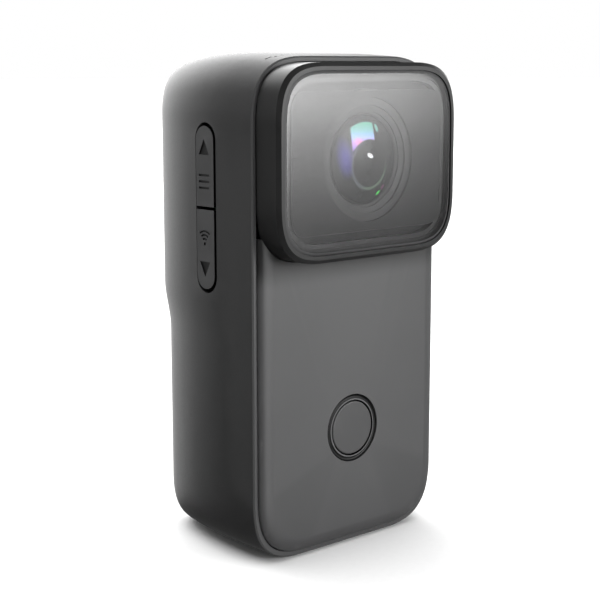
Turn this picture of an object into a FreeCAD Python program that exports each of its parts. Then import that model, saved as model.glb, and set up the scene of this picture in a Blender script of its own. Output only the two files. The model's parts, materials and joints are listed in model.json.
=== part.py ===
import FreeCAD, Part
import math
import os

# Thumb-size action camera.  Millimetres, +Z up, the lens looks along -Y and the side keys are
# on -X.  The origin is the centre of the overall box at the surface the camera stands on.

V = FreeCAD.Vector
X_AXIS = V(1, 0, 0)
Y_AXIS = V(0, 1, 0)
Z_AXIS = V(0, 0, 1)

# ---- overall body
WIDTH = 40.2
HEIGHT = 80.0
FRONT_Y = -17.6            # outermost face of the lens housing
RIM_Y = -12.2              # front edge of the body shell
BACK_Y = 17.6              # display housing, upper back
GRIP_BACK_Y = 16.2         # lower back, below the display housing
STEP_LOW_Z = 35.0          # the back steps out smoothly between these two heights
STEP_HIGH_Z = 42.0
TOP_CORNER = 12.1          # corner sizes of the front outline
BOTTOM_CORNER = 11.7
CORNER_POWER = 3.0         # soft, superelliptic corners
SIDE_TAPER = 7.16          # how far each side draws in towards the back
TAPER_LENGTH = 23.9
TAPER_POWER = 2.1
CROWN = 0.6                # the top is higher in the middle than at the rim
TOP_DROP = 1.47            # extra fall of the top at the back
BOTTOM_RISE = 2.0          # rise of the bottom at the back
BOTTOM_RISE_Y = 12.4
RIM_CHAMFER = 0.22
FLAT_TRIM = 0.04           # trimmed off the underside to leave a true flat to stand on
WALL = 1.5
RIM_TOP = HEIGHT - CROWN
FLOOR_TOP_Z = 4.3          # inner face of the floor
INNER_BACK_Y = 14.7        # inner face of the back wall

# ---- front panel
RIM_WIDTH = 0.75
PANEL_GAP = 0.12
PANEL_FACE_Y = -13.47
PANEL_EDGE_Y = -12.45
PANEL_BACK_Y = -10.7
PANEL_SOFT = 2.3           # width of the rounded edge, seen from the front
LEDGE = 1.0

# ---- lens housing
LENS_Z = 63.4
HOUSING_HALF = 19.5
HOUSING_LOW_Z = 47.95
HOUSING_HIGH_Z = 78.45
HOUSING_CORNER = 11.0
HOUSING_POWER = 3.3
HOUSING_BEVEL = 0.6
HOUSING_BACK_Y = -12.55
COLLAR_INSET = 1.05
HOUSING_BORE = 2.9         # inset of the opening behind the glass
HOUSING_RIM = 0.6
GLASS_GAP = 0.1
GLASS_EDGE = 0.35          # width of the ground edge round the glass
GLASS_FACE_Y = -17.5
GLASS_THICK = 1.1
GASKET_THICK = 0.25
FILM = 0.03                # adhesive film behind the glass
GLASS_BACK_Y = GLASS_FACE_Y + GLASS_THICK
GLASS_INSET = HOUSING_BEVEL + HOUSING_RIM + GLASS_GAP
WINDOW_HALF = 16.2         # dark plate behind the glass
WINDOW_Z0 = 52.3
WINDOW_Z1 = 74.1
WINDOW_CORNER = 3.4
WINDOW_HOLE_R = 9.7
LENS_R = 6.8               # front element
LENS_APEX_Y = -16.1
LENS_SEAT_R = 6.15

# ---- record button
BUTTON_Z = 19.5
BUTTON_HOLE_R = 5.62
BUTTON_RING_R = 5.45
BUTTON_BORE_R = 4.62
BUTTON_R = 4.4

# ---- side keys
KEY_FACE_X = -19.74        # flush with the curved side at the back edge of the keys
KEY_Y0 = -3.5              # the slot in the side wall
KEY_Y1 = 1.95
KEY_Z0 = 42.5
KEY_Z1 = 69.3
KEY_SPLIT_Z = 55.9
KEY_SPLIT = 0.5
KEY_GAP = 0.12
KEY_FRONT_GAP = 1.0
KEY_POCKET_X = -18.5       # flat seat for the key flanges inside the wall
KEY_CENTRE_Z = (51.3, 46.2, 65.4, 60.0)
SWITCH_Y = -0.6
MARK_DEPTH = 0.15          # engraved marks on the key faces
MARK_Y = -0.15
MARK_Y0 = -1.43
MARK_Y1 = 1.13
WAVES_Z = 50.25
BAR_HALF = 0.17

# ---- battery door
DOOR_HALF = 15.2
DOOR_FRONT_Y = -8.6
HINGE_Y = 8.8
HINGE_Z = 1.62
BARREL_R = 1.5
DOOR_RECESS = 0.12
DOOR_THICK = 1.9
DOOR_GAP = 0.2
PIN_R = 0.5

# ---- display on the back
DISPLAY_HALF = 11.8
DISPLAY_Z0 = 44.4
DISPLAY_Z1 = 73.6

# ---- inside: battery, port, card, board, microphones, speaker, magnets
BATTERY_X0 = -14.2
BATTERY_X1 = 5.0
BATTERY_Y0 = -6.4
BATTERY_Y1 = 5.6
BATTERY_Z0 = 2.7
BATTERY_Z1 = 32.0
TRAY_WALL = 0.8
TRAY_GAP = 0.35

PORT_X0 = 8.0
PORT_X1 = 11.3
PORT_Y0 = -6.0
PORT_Y1 = 3.0
CARD_X0 = 12.9
CARD_X1 = 14.5
CARD_Y0 = -6.2
CARD_Y1 = 5.4

MIC_SLIT = (-14.0, -9.05)   # X and Y
MIC_DOTS = ((-12.75, -9.3), (-11.4, -9.3))
MAGNET_Z = (13.0, 23.5)
SPEAKER_Y = 0.5
SPEAKER_Z = 28.0
MAIN_BOARD_Y = 8.2
BOARD_SCREWS = ((-12.6, 38.5), (12.6, 38.5), (-12.6, 71.0), (12.6, 71.0))   # X and Z


# ------------------------------------------------------------------ helpers

def box(x0, x1, y0, y1, z0, z1):
    return Part.makeBox(x1 - x0, y1 - y0, z1 - z0, V(x0, y0, z0))


def rod(r, start, axis, length):
    return Part.makeCylinder(r, length, start, axis)


def tube(r_out, r_in, start, axis, length):
    return rod(r_out, start, axis, length).cut(rod(r_in, start, axis, length))


def rod_y(r, x, z, y0, y1):
    return rod(r, V(x, y0, z), Y_AXIS, y1 - y0)


def tube_y(r_out, r_in, x, z, y0, y1):
    return rod_y(r_out, x, z, y0, y1).cut(rod_y(r_in, x, z, y0 - 1, y1 + 1))


def fuse(shapes):
    result = shapes[0]
    for shape in shapes[1:]:
        result = result.fuse(shape)
    return result.removeSplitter()


def spline(points, start_dir=None, end_dir=None):
    curve = Part.BSplineCurve()
    if start_dir is None:
        curve.interpolate(Points=points)
    else:
        curve.interpolate(Points=points, InitialTangent=start_dir, FinalTangent=end_dir)
    return curve.toShape()


def line(a, b):
    return Part.LineSegment(a, b).toShape()


def corner(cx, cz, r, sx, sz, power, y):
    """Points of one soft corner, from the side (largest |x|) round to the top or bottom."""
    points = []
    for i in range(9):
        a = math.pi / 2 * i / 8
        dx = r * math.cos(a) ** (2 / power)
        dz = r * math.sin(a) ** (2 / power)
        points.append(V(cx + sx * dx, y, cz + sz * dz))
    return points


def soft_wire(half, z0, z1, r, y, power=CORNER_POWER, r_low=None):
    """Closed outline in an XZ plane: a rectangle centred on X=0 with soft corners."""
    if r_low is None:
        r_low = r
    tr = corner(half - r, z1 - r, r, 1, 1, power, y)
    tl = corner(-half + r, z1 - r, r, -1, 1, power, y)
    bl = corner(-half + r_low, z0 + r_low, r_low, -1, -1, power, y)
    br = corner(half - r_low, z0 + r_low, r_low, 1, -1, power, y)
    edges = [
        spline(tr, V(0, 0, 1), V(-1, 0, 0)),
        line(tr[-1], tl[-1]),
        spline(tl[::-1], V(-1, 0, 0), V(0, 0, -1)),
        line(tl[0], bl[0]),
        spline(bl, V(0, 0, -1), V(1, 0, 0)),
        line(bl[-1], br[-1]),
        spline(br[::-1], V(1, 0, 0), V(0, 0, 1)),
        line(br[0], tr[0]),
    ]
    return Part.Wire(edges)


def soft_plate(half, z0, z1, r, y0, y1, power=CORNER_POWER):
    face = Part.Face(soft_wire(half, z0, z1, r, y0, power))
    return face.extrude(V(0, y1 - y0, 0))


def loft(wires, ruled=False):
    return Part.makeLoft(wires, True, ruled)


def round_box(x0, x1, y0, y1, z0, z1, r, axis):
    """Box with its four edges along one axis rounded."""
    solid = box(x0, x1, y0, y1, z0, z1)
    edges = []
    for edge in solid.Edges:
        direction = edge.Vertexes[1].Point - edge.Vertexes[0].Point
        if abs(direction.normalize().dot(axis)) > 0.99:
            edges.append(edge)
    return solid.makeFillet(r, edges)


# ------------------------------------------------------------------ outer shape

def taper(y, back):
    """How far the side has drawn in at depth y, for a body whose back is at the given depth."""
    u = (y - (back - TAPER_LENGTH)) / TAPER_LENGTH
    u = min(1.0, max(0.0, u))
    return SIDE_TAPER * (1 - (1 - u ** TAPER_POWER) ** (1 / TAPER_POWER))


def top_height(y):
    t = (y - RIM_Y) / (BACK_Y - RIM_Y)
    fall = TOP_DROP * taper(y, BACK_Y) / SIDE_TAPER
    return HEIGHT - CROWN * (1 - math.sin(math.pi * min(1.0, 1.1 * t))) - fall


def bottom_height(y):
    u = (y - BOTTOM_RISE_Y) / (BACK_Y - BOTTOM_RISE_Y)
    u = min(1.0, max(0.0, u))
    return BOTTOM_RISE * (1 - math.sqrt(1 - u * u)) - FLAT_TRIM


def step_fraction(z):
    t = min(1.0, max(0.0, (z - STEP_LOW_Z) / (STEP_HIGH_Z - STEP_LOW_Z)))
    return 3 * t * t - 2 * t ** 3


def back_at(z):
    return GRIP_BACK_Y + (BACK_Y - GRIP_BACK_Y) * step_fraction(z)


def step_height(y):
    """Height at which the back surface reaches depth y."""
    low = STEP_LOW_Z
    high = STEP_HIGH_Z
    for _ in range(40):
        mid = (low + high) / 2
        if back_at(mid) < y:
            low = mid
        else:
            high = mid
    return high


def step_points(y, z_from, sx, inset):
    points = []
    for i in range(7):
        z = z_from + (STEP_HIGH_Z - z_from) * i / 6
        x = WIDTH / 2 - inset - taper(y, back_at(z))
        points.append(V(sx * x, y, z))
    return points


def full_section(y, inset=0.0):
    """Outline of the whole body at depth y, with the step between grip and display housing."""
    upper = WIDTH / 2 - inset - taper(y, BACK_Y)
    lower = WIDTH / 2 - inset - taper(y, GRIP_BACK_Y)
    r_top = max(TOP_CORNER - inset - 0.5 * taper(y, BACK_Y), 2.0)
    r_low = max(BOTTOM_CORNER - inset - 0.5 * taper(y, GRIP_BACK_Y), 2.0)
    z_top = top_height(y) - inset
    z_low = bottom_height(y) + inset
    tr = corner(upper - r_top, z_top - r_top, r_top, 1, 1, CORNER_POWER, y)
    tl = corner(-upper + r_top, z_top - r_top, r_top, -1, 1, CORNER_POWER, y)
    bl = corner(-lower + r_low, z_low + r_low, r_low, -1, -1, CORNER_POWER, y)
    br = corner(lower - r_low, z_low + r_low, r_low, 1, -1, CORNER_POWER, y)
    step_r = step_points(y, STEP_LOW_Z, 1, inset)
    step_l = step_points(y, STEP_LOW_Z, -1, inset)
    edges = [
        spline(tr, V(0, 0, 1), V(-1, 0, 0)),
        line(tr[-1], tl[-1]),
        spline(tl[::-1], V(-1, 0, 0), V(0, 0, -1)),
        line(tl[0], step_l[-1]),
        spline(step_l[::-1]),
        line(step_l[0], bl[0]),
        spline(bl, V(0, 0, -1), V(1, 0, 0)),
        line(bl[-1], br[-1]),
        spline(br[::-1], V(1, 0, 0), V(0, 0, 1)),
        line(br[0], step_r[0]),
        spline(step_r),
        line(step_r[-1], tr[0]),
    ]
    return Part.Wire(edges)


def upper_section(y):
    """Outline of the display housing at depth y, above the step."""
    upper = WIDTH / 2 - taper(y, BACK_Y)
    r_top = max(TOP_CORNER - 0.5 * taper(y, BACK_Y), 2.0)
    z_top = top_height(y)
    z_step = min(step_height(y), STEP_HIGH_Z - 0.8)
    tr = corner(upper - r_top, z_top - r_top, r_top, 1, 1, CORNER_POWER, y)
    tl = corner(-upper + r_top, z_top - r_top, r_top, -1, 1, CORNER_POWER, y)
    step_r = step_points(y, z_step, 1, 0.0)
    step_l = step_points(y, z_step, -1, 0.0)
    edges = [
        spline(tr, V(0, 0, 1), V(-1, 0, 0)),
        line(tr[-1], tl[-1]),
        spline(tl[::-1], V(-1, 0, 0), V(0, 0, -1)),
        line(tl[0], step_l[-1]),
        spline(step_l[::-1]),
        line(step_l[0], step_r[0]),
        spline(step_r),
        line(step_r[-1], tr[0]),
    ]
    return Part.Wire(edges)


def outer_body():
    chamfer = loft([full_section(RIM_Y, RIM_CHAMFER), full_section(RIM_Y + RIM_CHAMFER)], True)
    depths = [RIM_Y + RIM_CHAMFER, -9.8]
    start = GRIP_BACK_Y - TAPER_LENGTH
    for i in range(10):
        depths.append(start + TAPER_LENGTH * math.sin(math.pi / 2 * i / 9))
    main = loft([full_section(y) for y in depths])
    depths = [GRIP_BACK_Y]
    start = BACK_Y - TAPER_LENGTH
    first = math.asin((GRIP_BACK_Y - start) / TAPER_LENGTH)
    for i in range(1, 5):
        depths.append(start + TAPER_LENGTH * math.sin(first + (math.pi / 2 - first) * i / 4))
    raised = loft([upper_section(y) for y in depths])
    body = fuse([chamfer, main, raised])
    return body.cut(box(-40, 40, -40, 40, -5, 0))


# ------------------------------------------------------------------ housing parts

def front_plate(inset, y0, y1):
    """Plate with the front outline, drawn in by the given amount."""
    return soft_plate(WIDTH / 2 - inset, inset, RIM_TOP - inset, TOP_CORNER - inset, y0, y1)


def housing_wire(inset, y):
    """Outline of the lens housing, drawn in by the given amount."""
    return soft_wire(
        HOUSING_HALF - inset,
        HOUSING_LOW_Z + inset,
        HOUSING_HIGH_Z - inset,
        HOUSING_CORNER - inset,
        y,
        HOUSING_POWER,
    )


def housing_plate(inset, y0, y1):
    face = Part.Face(housing_wire(inset, y0))
    return face.extrude(V(0, y1 - y0, 0))


def inner_section(y):
    shifted = taper(y + 0.9, GRIP_BACK_Y)
    half = WIDTH / 2 - WALL - shifted
    r = max(TOP_CORNER - WALL - 0.5 * shifted, 2.0)
    return soft_wire(half, FLOOR_TOP_Z, top_height(y) - WALL - 0.1, r, y, r_low=2.6)


def inner_cavity():
    depths = [-9.3, -7.0, -3.0, 1.0, 5.0, 8.5, 11.0, 13.0, INNER_BACK_Y]
    return loft([inner_section(y) for y in depths])


def pill(y0, y1, z0, z1, x0, x1):
    """Slot-shaped plate standing along Z, facing along X."""
    r = (y1 - y0) / 2
    yc = (y0 + y1) / 2
    middle = box(x0, x1, y0, y1, z0 + r, z1 - r)
    low = rod(r, V(x0, yc, z0 + r), X_AXIS, x1 - x0)
    high = rod(r, V(x0, yc, z1 - r), X_AXIS, x1 - x0)
    return fuse([middle, low, high])


def latch_catch():
    """Slot in the front wall of the door recess that takes the latch tongue."""
    return box(-1.8, 1.8, DOOR_FRONT_Y - 2.1, DOOR_FRONT_Y + 0.1, 0.62, 1.48)


def door_recess():
    plate = box(
        -DOOR_HALF - DOOR_GAP,
        DOOR_HALF + DOOR_GAP,
        DOOR_FRONT_Y - DOOR_GAP,
        HINGE_Y,
        -1.0,
        DOOR_THICK + DOOR_RECESS + 0.3,
    )
    barrel = rod(
        BARREL_R + 0.3,
        V(-DOOR_HALF - DOOR_GAP, HINGE_Y, HINGE_Z),
        X_AXIS,
        2 * (DOOR_HALF + DOOR_GAP),
    )
    mouth = box(
        -DOOR_HALF - DOOR_GAP,
        DOOR_HALF + DOOR_GAP,
        HINGE_Y - 1,
        HINGE_Y + BARREL_R + 0.3,
        -1.0,
        HINGE_Z,
    )
    return fuse([plate, barrel, mouth])


def hinge_lug():
    eye = rod(1.3, V(-2.9, HINGE_Y, HINGE_Z), X_AXIS, 5.8)
    arm = box(-2.9, 2.9, HINGE_Y - 1.3, HINGE_Y + 2.2, HINGE_Z, FLOOR_TOP_Z)
    foot = box(-2.9, 2.9, HINGE_Y + 0.2, HINGE_Y + 2.2, 0.6, FLOOR_TOP_Z)
    hole = rod(PIN_R, V(-4, HINGE_Y, HINGE_Z), X_AXIS, 8)
    return fuse([eye, arm, foot]).cut(hole)


def body_shell():
    shell = OUTER.cut(front_plate(RIM_WIDTH, RIM_Y - 1, PANEL_BACK_Y))
    shell = shell.cut(front_plate(RIM_WIDTH + LEDGE, PANEL_BACK_Y - 0.1, -9.2))
    shell = shell.cut(inner_cavity())
    shell = shell.cut(door_recess())
    shell = fuse([shell, hinge_lug()])
    bay = box(
        BATTERY_X0 - TRAY_GAP,
        BATTERY_X1 + TRAY_GAP,
        BATTERY_Y0 - TRAY_GAP,
        BATTERY_Y1 + TRAY_GAP,
        0,
        FLOOR_TOP_Z + 1,
    )
    port = box(PORT_X0 - 0.2, PORT_X1 + 0.2, PORT_Y0 - 0.2, PORT_Y1 + 0.2, 0, FLOOR_TOP_Z + 1)
    card = box(CARD_X0 - 0.1, CARD_X1, CARD_Y0, CARD_Y1, 0, FLOOR_TOP_Z + 1)
    keys = pill(KEY_Y0, KEY_Y1, KEY_Z0, KEY_Z1, -22, -17)
    key_seat = pill(KEY_Y0 - 1.5, KEY_Y1 + 1.5, KEY_Z0 - 1.7, KEY_Z1 + 1.7, KEY_POCKET_X, -15)
    window = round_box(-DISPLAY_HALF, DISPLAY_HALF, 16.75, 20, DISPLAY_Z0, DISPLAY_Z1, 2.5, Y_AXIS)
    well = round_box(
        -DISPLAY_HALF + 1.2,
        DISPLAY_HALF - 1.2,
        13.0,
        17.0,
        DISPLAY_Z0 + 1.2,
        DISPLAY_Z1 - 1.2,
        1.5,
        Y_AXIS,
    )
    mic = box(MIC_SLIT[0] - 0.65, MIC_SLIT[0] + 0.65, MIC_SLIT[1] - 0.17, MIC_SLIT[1] + 0.17, 70, 81)
    for cutter in (bay, port, card, latch_catch(), keys, key_seat, window, well, mic):
        shell = shell.cut(cutter)
    for x, y in MIC_DOTS:
        shell = shell.cut(rod(0.25, V(x, y, 70), Z_AXIS, 12))
    for dy in (-2, -1, 0, 1, 2):
        shell = shell.cut(rod(0.4, V(15, SPEAKER_Y + 1.5 * dy, SPEAKER_Z), X_AXIS, 6))
    return shell


def front_panel():
    sections = []
    for i in range(7):
        a = math.pi / 2 * i / 6
        inset = RIM_WIDTH + PANEL_GAP + PANEL_SOFT * (1 - math.cos(a))
        y = PANEL_EDGE_Y + (PANEL_FACE_Y - PANEL_EDGE_Y) * math.sin(a)
        sections.append(
            soft_wire(WIDTH / 2 - inset, inset, RIM_TOP - inset, TOP_CORNER - inset, y)
        )
    soft = loft(sections)
    flat = front_plate(RIM_WIDTH + PANEL_GAP, PANEL_EDGE_Y, PANEL_BACK_Y)
    panel = fuse([soft, flat])
    panel = panel.cut(housing_plate(-0.12, -20, -5))
    panel = panel.cut(box(-30, 30, -20, 0, 52.0, 90))
    panel = panel.cut(rod_y(BUTTON_HOLE_R, 0, BUTTON_Z, -20, 0))
    panel = panel.cut(rod_y(6.65, 0, BUTTON_Z, -12.0, 0))
    return panel


def lens_housing():
    front = housing_wire(HOUSING_BEVEL, FRONT_Y)
    back = housing_wire(0, FRONT_Y + HOUSING_BEVEL)
    bevel = loft([front, back], True)
    wall = housing_plate(0, FRONT_Y + HOUSING_BEVEL, HOUSING_BACK_Y)
    collar = housing_plate(COLLAR_INSET, HOUSING_BACK_Y, PANEL_BACK_Y)
    body = fuse([bevel, wall, collar])
    body = body.cut(housing_plate(HOUSING_BEVEL + HOUSING_RIM, FRONT_Y - 1, GLASS_BACK_Y + GASKET_THICK))
    return body.cut(housing_plate(HOUSING_BORE, FRONT_Y - 1, 0))


def cover_glass():
    front = housing_wire(GLASS_INSET + GLASS_EDGE, GLASS_FACE_Y)
    back = housing_wire(GLASS_INSET, GLASS_FACE_Y + 0.2)
    edge = loft([front, back], True)
    return fuse([edge, housing_plate(GLASS_INSET, GLASS_FACE_Y + 0.2, GLASS_BACK_Y)])


def glass_gasket():
    outer = housing_plate(GLASS_INSET, GLASS_BACK_Y + FILM, GLASS_BACK_Y + GASKET_THICK)
    return outer.cut(housing_plate(GLASS_INSET + 0.9, -20, -10))


def window_mask():
    back_y = GLASS_BACK_Y + 0.4
    mask = soft_plate(WINDOW_HALF, WINDOW_Z0, WINDOW_Z1, WINDOW_CORNER, GLASS_BACK_Y + FILM, back_y)
    return mask.cut(rod_y(WINDOW_HOLE_R, 0, LENS_Z, -20, -10))


def surround_plate():
    """Inner plate of the lens housing that holds the lens surround."""
    plate = housing_plate(HOUSING_BORE + 0.02, -14.9, -13.9)
    return plate.cut(rod_y(10.6, 0, LENS_Z, -20, -5))


# ------------------------------------------------------------------ lens and camera module

def revolve_y(profile, z=LENS_Z):
    """Solid of revolution about the lens axis from (radius, y) points."""
    points = [V(r, y, z) for r, y in profile]
    face = Part.Face(Part.makePolygon(points + [points[0]]))
    return face.revolve(V(0, 0, z), Y_AXIS, 360)


def lens_surround():
    return revolve_y([(8.5, -15.95), (11.0, -15.95), (11.0, -14.95), (10.6, -14.95), (10.6, -13.9),
                      (7.2, -13.9), (7.2, -15.0), (7.6, -15.15), (7.6, -15.4), (8.5, -15.6)])


def lens_retaining_ring():
    return revolve_y([(LENS_R + 0.05, -15.0), (7.12, -15.05), (7.12, -13.75), (LENS_R + 0.05, -13.75)])


def lens_barrel():
    return revolve_y([(6.2, -13.75), (9.4, -13.75), (9.4, -9.2), (7.8, -9.2), (7.8, -4.2),
                      (5.9, -4.2), (5.9, -12.6), (6.2, -12.6)])


def dome(r, y_apex, y_edge, y_back):
    """Lens element with a spherical front and a flat back."""
    sag = y_edge - y_apex
    radius = (r * r + sag * sag) / (2 * sag)
    ball = Part.makeSphere(radius, V(0, y_apex + radius, LENS_Z))
    return ball.common(rod_y(r, 0, LENS_Z, y_apex - 1, y_back))


def lens_front_element():
    """Wide domed front glass with a narrower seat that drops into the barrel."""
    cap = dome(LENS_R, LENS_APEX_Y, -15.0, -13.8)
    seat = rod_y(LENS_SEAT_R, 0, LENS_Z, -13.9, -12.65)
    dish_r = 9.0
    dish = Part.makeSphere(dish_r, V(0, -13.95 + dish_r, LENS_Z))
    return fuse([cap, seat]).cut(dish.common(rod_y(4.6, 0, LENS_Z, -15, -12)))


def lens_second_element():
    return dome(5.85, -12.2, -11.2, -9.9)


def lens_aperture():
    return revolve_y([(1.8, -9.6), (5.88, -9.6), (5.88, -9.2), (1.8, -9.2)])


def lens_rear_element():
    return dome(5.85, -8.9, -8.0, -6.4)


def lens_holder():
    base = round_box(-10.5, 10.5, -7.2, -2.2, LENS_Z - 10.5, LENS_Z + 10.5, 1.5, Y_AXIS)
    base = base.cut(rod_y(7.85, 0, LENS_Z, -8, -4.15))
    return base.cut(round_box(-6, 6, -5, -1, LENS_Z - 6, LENS_Z + 6, 0.8, Y_AXIS))


def ir_filter():
    return box(-5.2, 5.2, -3.9, -3.6, LENS_Z - 5.2, LENS_Z + 5.2)


def filter_frame():
    frame = round_box(-5.95, 5.95, -3.6, -3.2, LENS_Z - 5.95, LENS_Z + 5.95, 1.0, Y_AXIS)
    return frame.cut(box(-4.6, 4.6, -5, 0, LENS_Z - 4.6, LENS_Z + 4.6))


def image_sensor():
    return box(-4.4, 4.4, -2.95, -2.0, LENS_Z - 3.8, LENS_Z + 3.8)


def sensor_board():
    board = round_box(-10.4, 10.4, -2.0, -1.2, LENS_Z - 10.4, LENS_Z + 10.4, 1.0, Y_AXIS)
    for x in (-9.0, 9.0):
        for z in (LENS_Z - 9.0, LENS_Z + 9.0):
            board = board.cut(rod_y(0.65, x, z, -3, 0))
    return board


def sensor_screws():
    screws = []
    for x in (-9.0, 9.0):
        for z in (LENS_Z - 9.0, LENS_Z + 9.0):
            head = rod_y(1.25, x, z, -1.2, -0.5)
            shank = rod_y(0.6, x, z, -2.2, -1.1)
            slot = box(x - 0.9, x + 0.9, -0.75, 0, z - 0.15, z + 0.15)
            screws.append(fuse([head, shank]).cut(slot))
    return Part.makeCompound(screws)


def sensor_flex():
    return fuse([
        box(-4, 4, -1.2, -1.0, 48.5, 53.5),
        box(-4, 4, -1.2, 5.2, 48.3, 48.5),
        box(-4, 4, 5.0, 5.2, 45.0, 48.5),
    ])


# ------------------------------------------------------------------ record button

def record_button_ring():
    lip = revolve_y(
        [(BUTTON_BORE_R, -11.4), (BUTTON_BORE_R, -13.36), (4.68, -13.42), (4.8, -13.42), (4.9, -13.3),
         (5.05, -13.22), (5.2, -13.2), (5.33, -13.25), (BUTTON_RING_R, -13.36), (BUTTON_RING_R, -11.4)],
        BUTTON_Z,
    )
    flange = tube_y(6.5, 5.1, 0, BUTTON_Z, -11.9, -10.75)
    return fuse([lip, flange])


def record_button():
    cap = rod_y(BUTTON_R, 0, BUTTON_Z, -13.42, -11.3)
    rim = [e for e in cap.Edges if abs(e.BoundBox.YMax + 13.42) < 0.01]
    cap = cap.makeFillet(0.22, rim)
    flange = rod_y(4.95, 0, BUTTON_Z, -11.35, -10.85)
    stem = rod_y(1.2, 0, BUTTON_Z, -10.9, -10.25)
    return fuse([cap, flange, stem])


def record_button_seal():
    return tube_y(6.4, 5.15, 0, BUTTON_Z, -10.75, -10.2)


def record_switch():
    base = box(-2.0, 2.0, -9.55, -9.0, BUTTON_Z - 2.0, BUTTON_Z + 2.0)
    return fuse([base, rod_y(1.1, 0, BUTTON_Z, -9.7, -9.5)])


def record_board():
    return round_box(-7.0, 7.0, -9.0, -8.4, BUTTON_Z - 5.5, BUTTON_Z + 5.5, 1.0, Y_AXIS)


# ------------------------------------------------------------------ side keys

def key_prism(points):
    """Cutter for the outer face of a key, from (y, z) corners."""
    corners = [V(KEY_FACE_X - 0.5, y, z) for y, z in points]
    face = Part.Face(Part.makePolygon(corners + [corners[0]]))
    return face.extrude(V(0.5 + MARK_DEPTH, 0, 0))


def triangle_mark(z_base, z_tip):
    return key_prism([(MARK_Y0, z_base), (MARK_Y1, z_base), (MARK_Y, z_tip)])


def bars_mark():
    """Three short bars, a generic menu mark."""
    bars = []
    for z in (59.05, 60.05, 61.05):
        low = z - BAR_HALF
        high = z + BAR_HALF
        bars.append(key_prism([(MARK_Y0, low), (MARK_Y1, low), (MARK_Y1, high), (MARK_Y0, high)]))
    return Part.makeCompound(bars)


def waves_mark():
    """Dot with three arcs above it, for the radio link."""
    start = V(KEY_FACE_X - 0.5, MARK_Y, WAVES_Z)
    length = 0.5 + MARK_DEPTH
    wedge = key_prism([(MARK_Y, WAVES_Z), (MARK_Y + 2.2, WAVES_Z + 2.9), (MARK_Y - 2.2, WAVES_Z + 2.9)])
    dot = rod(0.26, start, X_AXIS, length)
    arcs = []
    for r in (0.8, 1.4, 2.0):
        arcs.append(tube(r + 0.15, r - 0.15, start, X_AXIS, length).common(wedge))
    return Part.makeCompound([dot] + arcs)


def side_key(upper):
    y0 = KEY_Y0 + KEY_FRONT_GAP
    y1 = KEY_Y1 - KEY_GAP
    end_gap = (KEY_FRONT_GAP + KEY_GAP) / 2
    cap = pill(y0, y1, KEY_Z0 + end_gap, KEY_Z1 - end_gap, KEY_FACE_X, -18.2)
    flange = pill(KEY_Y0 - 0.2, KEY_Y1 + 0.44, KEY_Z0 - 0.5, KEY_Z1 + 0.5, KEY_POCKET_X + 0.05, -17.95)
    whole = fuse([cap, flange])
    if upper:
        half = box(-25, 0, -10, 10, KEY_SPLIT_Z + KEY_SPLIT / 2, 90)
        centres = KEY_CENTRE_Z[2:]
        marks = (triangle_mark(64.25, 66.7), bars_mark())
    else:
        half = box(-25, 0, -10, 10, 20, KEY_SPLIT_Z - KEY_SPLIT / 2)
        centres = KEY_CENTRE_Z[:2]
        marks = (triangle_mark(47.4, 44.95), waves_mark())
    key = whole.common(half)
    for mark in marks:
        key = key.cut(mark)
    for z in centres:
        key = fuse([key, rod(0.9, V(-18.0, SWITCH_Y, z), X_AXIS, 0.35)])
    return key


def side_key_seal():
    outer = pill(KEY_Y0 - 1.4, KEY_Y1 + 1.4, KEY_Z0 - 1.6, KEY_Z1 + 1.6, KEY_POCKET_X, -17.8)
    inner = pill(KEY_Y0 - 0.6, KEY_Y1 + 0.85, KEY_Z0 - 0.9, KEY_Z1 + 0.9, -19, -17)
    return outer.cut(inner)


def side_switches():
    shapes = []
    for z in KEY_CENTRE_Z:
        base = box(-17.0, -16.4, SWITCH_Y - 1.5, SWITCH_Y + 1.5, z - 1.5, z + 1.5)
        dome_top = rod(0.8, V(-17.1, SWITCH_Y, z), X_AXIS, 0.3)
        shapes.append(fuse([base, dome_top]))
    return Part.makeCompound(shapes)


def side_switch_board():
    return box(-16.4, -15.8, -5.0, 3.4, KEY_Z0 - 0.5, KEY_Z1 - 3.5)


# ------------------------------------------------------------------ battery bay and door

def battery_tray():
    outer = box(
        BATTERY_X0 - TRAY_GAP - TRAY_WALL,
        BATTERY_X1 + TRAY_GAP + TRAY_WALL,
        BATTERY_Y0 - TRAY_GAP - TRAY_WALL,
        BATTERY_Y1 + TRAY_GAP + TRAY_WALL,
        FLOOR_TOP_Z,
        BATTERY_Z1 + 2.6,
    )
    inner = box(
        BATTERY_X0 - TRAY_GAP,
        BATTERY_X1 + TRAY_GAP,
        BATTERY_Y0 - TRAY_GAP,
        BATTERY_Y1 + TRAY_GAP,
        0,
        BATTERY_Z1 + 1.6,
    )
    return outer.cut(inner)


def chassis():
    plate = soft_plate(18.45, FLOOR_TOP_Z + 0.1, 77.4, 10.5, -8.4, -7.7)
    plate = plate.cut(rod_y(9.9, 0, LENS_Z, -12, 0))
    posts = []
    for x, z in BOARD_SCREWS:
        post = tube_y(1.7, 0.6, x, z, -7.8, MAIN_BOARD_Y)
        posts.append(post)
    return fuse([plate] + posts)


def battery():
    cell = round_box(BATTERY_X0, BATTERY_X1, BATTERY_Y0, BATTERY_Y1, BATTERY_Z0, BATTERY_Z1, 1.2, Z_AXIS)
    for i in range(3):
        x = BATTERY_X0 + 4 + i * 3.0
        cell = cell.cut(box(x, x + 1.8, -1.6, 1.0, BATTERY_Z1 - 0.3, BATTERY_Z1 + 1))
    return cell


def battery_contacts():
    shapes = []
    for i in range(3):
        x = BATTERY_X0 + 4 + i * 3.0 + 0.4
        shapes.append(box(x, x + 1.0, -0.8, 0.2, BATTERY_Z1 - 0.28, BATTERY_Z1 + 1.6))
    return Part.makeCompound(shapes)


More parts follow.
